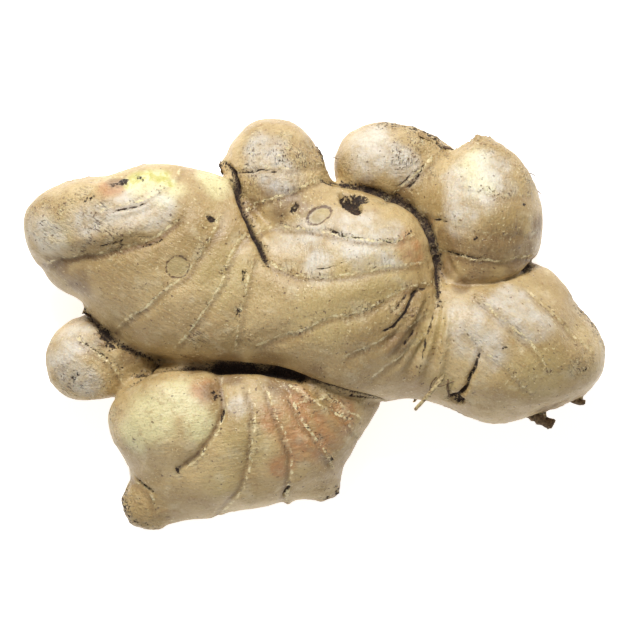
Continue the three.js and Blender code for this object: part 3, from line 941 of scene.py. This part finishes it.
# %% Rings: a pale broken thread with brown dashes beside it
RING_STEPS = [
    ("jitter", "RANGE", "shake", (0.25, 0.75, -0.22, 0.22)),
    ("ring_line", "ADD", "ring_gap", "jitter"),
    ("on_pale_ring", "RANGE", "ring_pale", (0.0, 0.5, 0.0, 1.0)),
    ("on_line", "RANGE", "ring_line", (0.36, 0.16, 0.0, 1.0)),
    ("thread", "MULTIPLY", "on_pale_ring", "on_line"),
    ("thread_gaps", "RANGE", "thread_break", (0.4, 0.56, 0.1, 0.95)),
    ("thread", "MULTIPLY", "thread", "thread_gaps"),
    ("pale_fleck", "RANGE", "fleck", (0.61, 0.7, 0.0, 0.6)),
    ("fleck_cluster", "RANGE", "cluster", (0.48, 0.6, 0.25, 1.0)),
    ("pale_fleck", "MULTIPLY", "pale_fleck", "fleck_cluster"),
    ("beside_ring", "RANGE", "ring_line", (1.5, 0.3, 0.0, 1.0)),
    ("dash_cluster", "RANGE", "cluster", (0.44, 0.56, 0.0, 1.0)),
    ("near_ring", "MULTIPLY", "beside_ring", "dash_cluster"),
    ("ring_dash", "RANGE", "dash", (0.6, 0.68, 0.0, 1.0)),
    ("ring_dash", "MULTIPLY", "near_ring", "ring_dash"),
    ("ring_dash_amount", "MULTIPLY", "ring_dash", 0.85),
]
RING_LAYERS = [(THREAD, "thread"), (THREAD, "pale_fleck"), (SPECK, "ring_dash_amount")]
print("ring layers:", len(RING_LAYERS))

# %% Fine wrinkles: short dashes along the way each finger grew
STREAK_LENGTH = 5
STREAK_WIDTH = 1.0
values |= {"streaks": 0.0, "wrinkle": 0.0, "light_wrinkle": 0.0}
WRINKLE_STEPS = []
for name, grown in GROWTH.items():
    shrink = (STREAK_LENGTH * MM, STREAK_WIDTH * MM, STREAK_WIDTH * MM)
    turned = {"Vector": coordinates, "Rotation": (0, 0, math.radians(grown[0])), "Scale": shrink}
    along = add(tree, "ShaderNodeMapping", turned, vector_type="TEXTURE").outputs["Vector"]
    links = {"Vector": along, "Scale": 1.0, "Detail": 3.0}
    values[name + "_streak"] = add(tree, "ShaderNodeTexNoise", links).outputs["Fac"]
    links |= {"Scale": 2.3, "Roughness": 0.6}
    values[name + "_strand"] = add(tree, "ShaderNodeTexNoise", links).outputs["Fac"]
    WRINKLE_STEPS += [
        ("streak", "MULTIPLY", name, name + "_streak"),
        ("streaks", "ADD", "streaks", "streak"),
        ("dark_strand", "RANGE", name + "_strand", (0.57, 0.63, 0.0, 1.0)),
        ("dark_strand", "MULTIPLY", name, "dark_strand"),
        ("wrinkle", "MAXIMUM", "wrinkle", "dark_strand"),
        ("pale_strand", "RANGE", name + "_strand", (0.43, 0.36, 0.0, 1.0)),
        ("pale_strand", "MULTIPLY", name, "pale_strand"),
        ("light_wrinkle", "MAXIMUM", "light_wrinkle", "pale_strand"),
    ]
WRINKLE_STEPS += [
    ("by_ring", "RANGE", "ring_line", (2.6, 0.6, 0.0, 1.0)),
    ("by_ring", "MULTIPLY", "by_ring", 0.45),
    ("wrinkled", "MAXIMUM", "cork", "by_ring"),
    ("wrinkle_spots", "RANGE", "wrinkle_break", (0.47, 0.6, 0.04, 1.0)),
    ("wrinkled", "MULTIPLY", "wrinkled", "wrinkle_spots"),
    ("dark_share", "MAXIMUM", "wrinkled", 0.12),
    ("wrinkle", "MULTIPLY", "wrinkle", "dark_share"),
    ("light_share", "MAXIMUM", "wrinkled", 0.2),
    ("light_wrinkle", "MULTIPLY", "light_wrinkle", "light_share"),
    ("wrinkle_amount", "MULTIPLY", "wrinkle", 0.85),
    ("light_amount", "MULTIPLY", "light_wrinkle", 0.75),
]
WRINKLE_LAYERS = [(SPECK, "wrinkle_amount"), (THREAD, "light_amount")]
print("wrinkle steps:", len(WRINKLE_STEPS))

# %% Specks, root scars and the cut
SPECK_STEPS = [
    ("cork_cluster", "RANGE", "cluster", (0.46, 0.58, 0.06, 1.0)),
    ("cork_speck", "MULTIPLY", "cork", "cork_cluster"),
    ("cork_dashes", "RANGE", "dash", (0.58, 0.68, 0.0, 1.0)),
    ("cork_speck", "MULTIPLY", "cork_speck", "cork_dashes"),
    ("cork_speck", "MULTIPLY", "cork_speck", 0.75),
    ("lone_speck", "RANGE", "lone", (0.715, 0.765, 0.0, 1.0)),
    ("lone_speck", "MULTIPLY", "lone_speck", 0.7),
    ("floor_amount", "MULTIPLY", "scar_floor", 0.42),
    ("rim_shake", "MULTIPLY", "jitter", 0.6),
    ("rim_line", "ADD", "scar_rim", "rim_shake"),
    ("rim_amount", "RANGE", "rim_line", (0.36, 0.12, 0.0, 0.85)),
    ("wetness", "RANGE", "wet", (0.42, 0.6, 0.0, 1.0)),
]
SPECK_LAYERS = [
    (SPECK, "cork_speck"), (SPECK, "lone_speck"), (SCAR_FLOOR, "floor_amount"), (SPECK, "rim_amount"),
    ((CUT_FLESH, WET_FLESH, "wetness"), "cut"),
]
print("speck layers:", len(SPECK_LAYERS))

# %% Soil and painted shade in the folds, and soil in the cracks and pits, on top of everything
SOIL_AND_SHADE_STEPS = [
    ("crumbs", "RANGE", "crumb", (0.3, 0.7, -0.45, 0.45)),
    ("ragged_soil", "ADD", "soil", "crumbs"),
    ("soil_amount", "RANGE", "ragged_soil", (0.42, 0.72, 0.0, 0.97)),
    ("fold_crumbs", "MULTIPLY", "crumbs", 0.6),
    ("fold_line", "ADD", "fold_gap", "fold_crumbs"),
    # the fold lines are painted near black: soil, and painted shade deep in the fold
    ("fold_amount", "RANGE", "fold_line", (0.32, -0.22, 0.0, 1.0)),
    ("crack_crumbs", "MULTIPLY", "crumbs", 0.3),
    ("crack_line", "ADD", "crack_gap", "crack_crumbs"),
    ("crack_amount", "RANGE", "crack_line", (0.14, -0.08, 0.0, 0.95)),
    ("dark_lines", "MAXIMUM", "fold_amount", "crack_amount"),
    ("soil_amount", "MAXIMUM", "soil_amount", "dark_lines"),
    ("dustiness", "RANGE", "dust", (0.5, 0.68, 0.0, 0.55)),
]
SOIL_AND_SHADE_LAYERS = [((SOIL_AND_SHADE, DUST, "dustiness"), "soil_amount")]
print("soil steps:", len(SOIL_AND_SHADE_STEPS))

# %% How rough the skin is: satin, dry on cork and soil, wet on the cut
GLOSS_STEPS = [
    ("roughness", "RANGE", "cloud", (0.35, 0.65, 0.38, 0.54)),
    ("fine_rough", "RANGE", "grain", (0.3, 0.7, -0.04, 0.06)),
    ("roughness", "ADD", "roughness", "fine_rough"),
    ("cork_rough", "MULTIPLY", "cork", 0.12),
    ("roughness", "ADD", "roughness", "cork_rough"),
    ("soil_rough", "MULTIPLY", "soil_amount", 0.4),
    ("roughness", "ADD", "roughness", "soil_rough"),
    ("wet_smooth", "MULTIPLY", "cut", 0.12),
    ("roughness", "SUBTRACT", "roughness", "wet_smooth"),
    ("coat", "RANGE", "soil_amount", (0.0, 1.0, 0.18, 0.0)),
]
print("gloss steps:", len(GLOSS_STEPS))

# %% The bumps that are too fine to sculpt
RELIEF_DEPTH = 0.36
RELIEF_STEPS = [
    ("relief", "MULTIPLY", "grain", 0.5),
    ("freckle_relief", "MULTIPLY", "freckle", 0.9),
    ("relief", "ADD", "relief", "freckle_relief"),
    ("cork_relief", "MULTIPLY", "cork", "dash"),
    ("cork_relief", "MULTIPLY", "cork_relief", 1.1),
    ("relief", "ADD", "relief", "cork_relief"),
    ("dash_relief", "MULTIPLY", "ring_dash", 0.7),
    ("relief", "SUBTRACT", "relief", "dash_relief"),
    ("wrinkle_relief", "MULTIPLY", "wrinkle", 0.8),
    ("relief", "SUBTRACT", "relief", "wrinkle_relief"),
    ("light_relief", "MULTIPLY", "light_wrinkle", 0.4),
    ("relief", "ADD", "relief", "light_relief"),
    ("soil_relief", "RANGE", "crumbs", (-0.3, 0.3, 0.2, 1.4)),
    ("soil_relief", "MULTIPLY", "soil_amount", "soil_relief"),
    ("relief", "SUBTRACT", "relief", "soil_relief"),
    ("streak_relief", "MULTIPLY", "streaks", 0.7),
    ("relief", "ADD", "relief", "streak_relief"),
]
print("relief steps:", len(RELIEF_STEPS))

# %% Work through the recipe
RANGE_ENDS = ("From Min", "From Max", "To Min", "To Max")
steps = GROUND_STEPS + RING_STEPS + WRINKLE_STEPS + SPECK_STEPS + SOIL_AND_SHADE_STEPS + GLOSS_STEPS + RELIEF_STEPS
for name, deed, one, other in steps:
    if deed == "RANGE":
        links = {"Value": values[one]} | dict(zip(RANGE_ENDS, other))
        made = add(tree, "ShaderNodeMapRange", links, interpolation_type="SMOOTHSTEP")
    else:
        links = {0: values[one], 1: values[other] if isinstance(other, str) else other}
        made = add(tree, "ShaderNodeMath", links, operation=deed)
    values[name] = made.outputs[0]
print("steps:", len(steps))

# %% Lay the colours over each other
FACTOR, UNDER, OVER, MIXED = 0, 6, 7, 2
colour = linear(STRAW)
for over, amount in GROUND_LAYERS + RING_LAYERS + WRINKLE_LAYERS + SPECK_LAYERS + SOIL_AND_SHADE_LAYERS:
    if isinstance(over, tuple):
        links = {FACTOR: values[over[2]], UNDER: linear(over[0]), OVER: linear(over[1])}
        over = add(tree, "ShaderNodeMix", links, data_type="RGBA").outputs[MIXED]
    else:
        over = linear(over)
    links = {FACTOR: values[amount], UNDER: colour, OVER: over}
    colour = add(tree, "ShaderNodeMix", links, data_type="RGBA").outputs[MIXED]
print("nodes so far:", len(tree.nodes))

# %% The skin's shader
relief_links = {"Height": values["relief"], "Strength": 1.0, "Distance": RELIEF_DEPTH * MM}
bumped = add(tree, "ShaderNodeBump", relief_links).outputs["Normal"]

shader = add(
    tree,
    "ShaderNodeBsdfPrincipled",
    {
        "Base Color": colour,
        "Roughness": values["roughness"],
        "Normal": bumped,
        "IOR": 1.5,
        "Specular IOR Level": 0.65,
        "Coat Weight": values["coat"],
        "Coat Roughness": 0.36,
        "Coat IOR": 1.4,
        "Subsurface Weight": 0.12,
        "Subsurface Radius": (1.0, 0.55, 0.25),
        "Subsurface Scale": 0.0012,
    },
)
add(tree, "ShaderNodeOutputMaterial", {"Surface": shader.outputs["BSDF"]})
even_mesh.materials.clear()
even_mesh.materials.append(skin_material)
print("skin nodes:", len(tree.nodes))

# %% [markdown]
# ## Roots
#
# A few roots are left after the hand was washed and trimmed. Each is a thin tapering stalk that comes out
# of the skin, so it can be made as it grows: a small circle is extruded step by step along a line,
# shrinking as it goes. A little noise makes it knobbly. Its places are map squares with a height in mm.

# %% Root material
BARK = "#4d3a26"
BARK_LIGHT = "#8c7250"
ROOTLET = "#d9c48d"
GROOVE = 0.7


def root_skin(name, dark, light, rough):
    """A dry, fibrous root skin: dark in the grooves and lighter on the crests, with no gloss."""
    material, tree = fresh(name)
    where = add(tree, "ShaderNodeTexCoord").outputs["Object"]
    groove_links = {"Vector": where, "Scale": 1 / (GROOVE * MM), "Detail": 4.0}
    grooves = add(tree, "ShaderNodeTexNoise", groove_links).outputs["Fac"]
    spread = {"Value": grooves, "From Min": 0.35, "From Max": 0.65}
    level = add(tree, "ShaderNodeMapRange", spread).outputs["Result"]
    mix_links = {FACTOR: level, UNDER: linear(dark), OVER: linear(light)}
    mixed = add(tree, "ShaderNodeMix", mix_links, data_type="RGBA").outputs[MIXED]
    groove_bump = {"Height": grooves, "Strength": 0.8, "Distance": 0.3 * MM}
    bumps = add(tree, "ShaderNodeBump", groove_bump).outputs["Normal"]
    paint = {"Base Color": mixed, "Roughness": rough, "Normal": bumps, "IOR": 1.45}
    shaded = add(tree, "ShaderNodeBsdfPrincipled", paint)
    add(tree, "ShaderNodeOutputMaterial", {"Surface": shaded.outputs["BSDF"]})
    return material


# Dry bark swallows light, so the stubs read as dead wood; a young rootlet is paler and keeps a little
# sheen.
bark_material = root_skin("dry_root_bark", BARK, BARK_LIGHT, 0.85)
rootlet_material = root_skin("pale_rootlet", BARK_LIGHT, ROOTLET, 0.6)
print("root materials:", bark_material.name, rootlet_material.name)

# %% Root shapes
SIDES = 10
final_form = bmesh.new()
final_form.from_mesh(even_mesh)
final_tree = BVHTree.FromBMesh(final_form)
final_form.free()
pieces = [skin]


def piece_from(form, name, material):
    """Makes a smooth-shaded object from a form and adds it to the pieces."""
    bmesh.ops.recalc_face_normals(form, faces=form.faces)
    for face in form.faces:
        face.smooth = True
    mesh = bpy.data.meshes.new(name)
    form.to_mesh(mesh)
    form.free()
    mesh.materials.append(material)
    made = bpy.data.objects.new(name, mesh)
    bpy.context.scene.collection.objects.link(made)
    pieces.append(made)
    return made


def root(name, line, thick, thin, material, knobbly=0.0):
    """A tapering stalk along a line of map squares with heights, thick to thin in mm across."""
    stops = [on_map(x, y) + Vector((0, 0, z)) for x, y, z in line]
    path = [Vector(p) for p in rounded([list(p) for p in stops])]
    form = bmesh.new()
    facing = (path[1] - path[0]).to_track_quat("Z", "Y").to_matrix().to_4x4()
    here = Matrix.Translation(path[0] * MM) @ facing
    bmesh.ops.create_circle(form, segments=SIDES, radius=thick / 2 * MM, matrix=here)
    rim = list(form.edges)
    width = thick
    for i in range(1, len(path)):
        ahead = path[min(i + 1, len(path) - 1)] - path[i - 1]
        next_width = thick + (thin - thick) * i / (len(path) - 1)
        there = Matrix.Translation(path[i] * MM) @ ahead.to_track_quat("Z", "Y").to_matrix().to_4x4()
        grown = bmesh.ops.extrude_edge_only(form, edges=rim)["geom"]
        ring = [v for v in grown if isinstance(v, bmesh.types.BMVert)]
        scale = Matrix.Scale(next_width / width, 4)
        bmesh.ops.transform(form, matrix=there @ scale @ here.inverted(), verts=ring)
        edges = [e for e in grown if isinstance(e, bmesh.types.BMEdge)]
        rim = [e for e in edges if all(v in ring for v in e.verts)]
        here, width = there, next_width
    caps = bmesh.ops.holes_fill(form, edges=form.edges)["faces"]
    bmesh.ops.poke(form, faces=caps, offset=thin * 0.2 * MM)
    if knobbly:
        form.normal_update()
        for vert in form.verts:
            vert.co += vert.normal * knobbly * MM * noise.noise(vert.co / MM / 0.9)
    return piece_from(form, name, material)


ROOTS = {
    "pale_root": (
        [(21.8, -11.4, 25.4), (20.4, -14.4, 25.4), (18.9, -17, 23.4), (17.1, -20, 20)],
        1.3, 0.8, rootlet_material, 0.12,
    ),
    "dark_root": (
        [(34, -17, 12.8), (36.6, -20.6, 12.8), (38.6, -22.4, 12.4), (40.9, -24.1, 11.8)],
        2.9, 2.1, bark_material, 0.9,
    ),
    "side_root": ([(41, -15, 13.2), (43.6, -17.2, 13.3), (46.4, -18.8, 13.2)], 2.4, 1.5, bark_material, 0.6),
    "crack_root": (
        [(22.6, -12.4, 25.4), (22.3, -14.6, 25.6), (22.9, -17, 22.4)],
        0.6, 0.3, bark_material, 0.2,
    ),
}
for name, stalk in ROOTS.items():
    root(name, *stalk)
print("roots:", [p.name for p in pieces[1:]])

# %% Root hairs
HAIR_THICK = 0.34
HAIR_THIN = 0.16
HAIRS = {
    "hair_east": [(37.2, 33.6, 14), (38.3, 33, 14.6), (38.9, 32, 14.8)],
    "hair_east_two": [(35.6, 37, 15), (37, 37.2, 15.4), (37.9, 36.4, 15)],
    "hair_rear": [(4.6, 39.6, 14), (4, 40.6, 14.6), (3, 41, 14.8)],
    "hair_nub": [(2.6, -38.8, 12), (3.6, -39.8, 12.2), (4.2, -39.5, 12.6)],
    "hair_bud": [(-30, -33, 13), (-31.2, -34.6, 13.4), (-32, -35.8, 13.2)],
    "hair_pit": [(23.6, -13, 25.8), (21.6, -14.2, 26.4), (19.6, -14.6, 24.6)],
    "hair_pit_two": [(20.6, -12, 25.4), (19.4, -14, 25), (19.6, -17, 22.2)],
    "hair_soil": [(5, 32, 21), (6.4, 30.4, 23.4), (7.8, 28.6, 23)],
    "hair_collar": [(-14.4, 37.4, 17), (-15.8, 38.8, 18), (-16.4, 40.2, 17.6)],
}
for name, line in HAIRS.items():
    root(name, line, HAIR_THICK, HAIR_THIN, bark_material)
print("hairs:", len(HAIRS))

# %% [markdown]
# ## Papery scales
#
# Torn rags of the scale leaves stay at some rings and tips. Each is a thin sheet that lies on the skin,
# lifts at its free edge and has a ragged outline. A grid is laid on the skin point by point, its corners
# are nibbled away, and solidify gives it the thickness of paper.

# %% Scale material and shape
# A scale leaf is like dry paper: matt and tan. A weathered one has gone brown and gives the edge a dark
# tear.
scale_material = root_skin("dry_scale_leaf", "#6d5132", "#b89a68", 0.75)
dark_scale_material = root_skin("weathered_scale_leaf", "#2f2114", "#6e5336", 0.85)
PAPER = 0.14
GRID = (40, 18)
MOST_DROP = 1.4


def scale(name, x, y, z, long, short, turn, lift, material, seed):
    """A rag long by short in mm near a map square, turned in degrees, whose free edge lifts off the skin."""
    place = (on_map(x, y) + Vector((0, 0, z))) * MM
    centre, out = final_tree.find_nearest(place)[:2]
    along = Vector((math.cos(math.radians(turn)), math.sin(math.radians(turn)), 0))
    along = (along - out * along.dot(out)).normalized()
    across = out.cross(along)
    form = bmesh.new()
    bmesh.ops.create_grid(form, x_segments=GRID[0], y_segments=GRID[1], size=0.5)
    nibbled = []
    for vert in form.verts:
        u, v = vert.co.x, vert.co.y
        torn = 0.9 * noise.noise(Vector((u * 4, v * 2, seed)))
        torn += 0.5 * noise.noise(Vector((u * 14, v * 5, seed)))
        if (2 * u) ** 2 + (2 * v) ** 2 > 0.75 + torn:
            nibbled.append(vert)
        flat_place = centre + along * u * long * MM + across * v * short * MM
        on_skin = final_tree.find_nearest(flat_place)[0]
        drop = max(-MOST_DROP, min(MOST_DROP, (on_skin - flat_place).dot(out) / MM))
        raised = lift * (v + 0.5) ** 2 + 0.25 * noise.noise(Vector((u * 5, v * 4, seed + 3)))
        vert.co = flat_place + out * (drop + max(0.05, raised)) * MM
    bmesh.ops.delete(form, geom=nibbled, context="VERTS")
    bmesh.ops.solidify(form, geom=form.faces, thickness=PAPER * MM)
    return piece_from(form, name, material)


SCALES = {
    "scale_rear_edge": (18.6, 45, 17, 5.5, 3.2, 145, 0.5, scale_material),
    "scale_rear_edge_two": (22.4, 41.6, 16, 4.6, 2.6, 120, 0.5, dark_scale_material),
    "scale_east_edge": (25, 40, 17, 3.6, 2.4, 200, 0.5, scale_material),
    "scale_north_edge": (0.6, 41.6, 16, 4.6, 2.4, 115, 0.4, dark_scale_material),
    "scale_collar": (-15.2, 38.6, 18, 3.6, 2.6, 215, 0.7, dark_scale_material),
    "scale_west_tuft": (-39, 3, 14, 4.0, 2.6, 40, 0.7, dark_scale_material),
    "scale_nub": (-5, -41.4, 12, 3.0, 2.0, 235, 0.5, scale_material),
    "scale_finger_end": (-31.6, -44, 11, 5.0, 3.4, 100, 0.35, scale_material),
}
for seed, (name, rag) in enumerate(SCALES.items()):
    scale(name, *rag, seed)
print("scales:", len(SCALES))

# %% [markdown]
# ## Floor and light
#
# The hand lies on a plain pale table. One large soft lamp behind it, about halfway down the sky, makes the
# broad satin highlights on the upper side of each lobe, over the highlights painted into the skin; the pale
# surroundings fill the shadows and brighten the lower rims. Each lamp below has its lean and turn in
# degrees, its distance and size in mm, and its power in watts.

# %% Floor
FLOOR_SIZE = 3000
floor_form = bmesh.new()
bmesh.ops.create_grid(floor_form, x_segments=1, y_segments=1, size=FLOOR_SIZE / 2 * MM)
floor_mesh = bpy.data.meshes.new("table")
floor_form.to_mesh(floor_mesh)
floor_form.free()
floor = bpy.data.objects.new("table", floor_mesh)
bpy.context.scene.collection.objects.link(floor)
floor_material, floor_tree = fresh("white_laminate")
# White laminate is even and barely shiny; a faint glow of its own keeps the table white up to the edge of
# the hand.
laminate = {"Base Color": linear("#fbfbfa"), "Roughness": 0.6}
laminate |= {"Emission Color": linear("#ffffff"), "Emission Strength": 0.68}
paint = add(floor_tree, "ShaderNodeBsdfPrincipled", laminate)
add(floor_tree, "ShaderNodeOutputMaterial", {"Surface": paint.outputs["BSDF"]})
floor_mesh.materials.append(floor_material)

# %% Lights
DAYLIGHT = "#f6f9ff"
WORLD_STRENGTH = 0.27
LAMPS = {
    "window": (43, -7, 650, 210, 4.8),
    "fill": (55, 200, 800, 500, 1.15),
}


def lamp(name, tilt, turn, distance, size, power):
    """A square soft lamp that leans tilt from straight above, towards turn, and faces the hand."""
    data = bpy.data.lights.new(name, "AREA")
    data.shape = "SQUARE"
    data.size = size * MM
    data.energy = power
    data.color = linear(DAYLIGHT)[:3]
    made = bpy.data.objects.new(name, data)
    lean = Vector((math.sin(tilt) * math.sin(turn), math.sin(tilt) * math.cos(turn), math.cos(tilt)))
    made.location = lean * distance * MM
    made.rotation_euler = (-lean).to_track_quat("-Z", "Y").to_euler()
    bpy.context.scene.collection.objects.link(made)
    return made


for name, (tilt, turn, distance, size, power) in LAMPS.items():
    lamp(name, math.radians(tilt), math.radians(turn), distance, size, power)
world = bpy.data.worlds.new("studio")
bpy.context.scene.world = world
world.use_nodes = True
sky = world.node_tree.nodes["Background"]
sky.inputs["Color"].default_value = linear("#ffffff")
sky.inputs["Strength"].default_value = WORLD_STRENGTH
bpy.context.scene.view_settings.view_transform = "Standard"

# %% [markdown]
# ## Tie the pieces to the model
#
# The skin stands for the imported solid, which is hidden, and rides on the only body there is.

# %% Finish
for piece in pieces:
    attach(piece, "root")
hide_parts("rhizome")
print("triangles:", sum(len(p.vertices) - 2 for p in even_mesh.polygons))
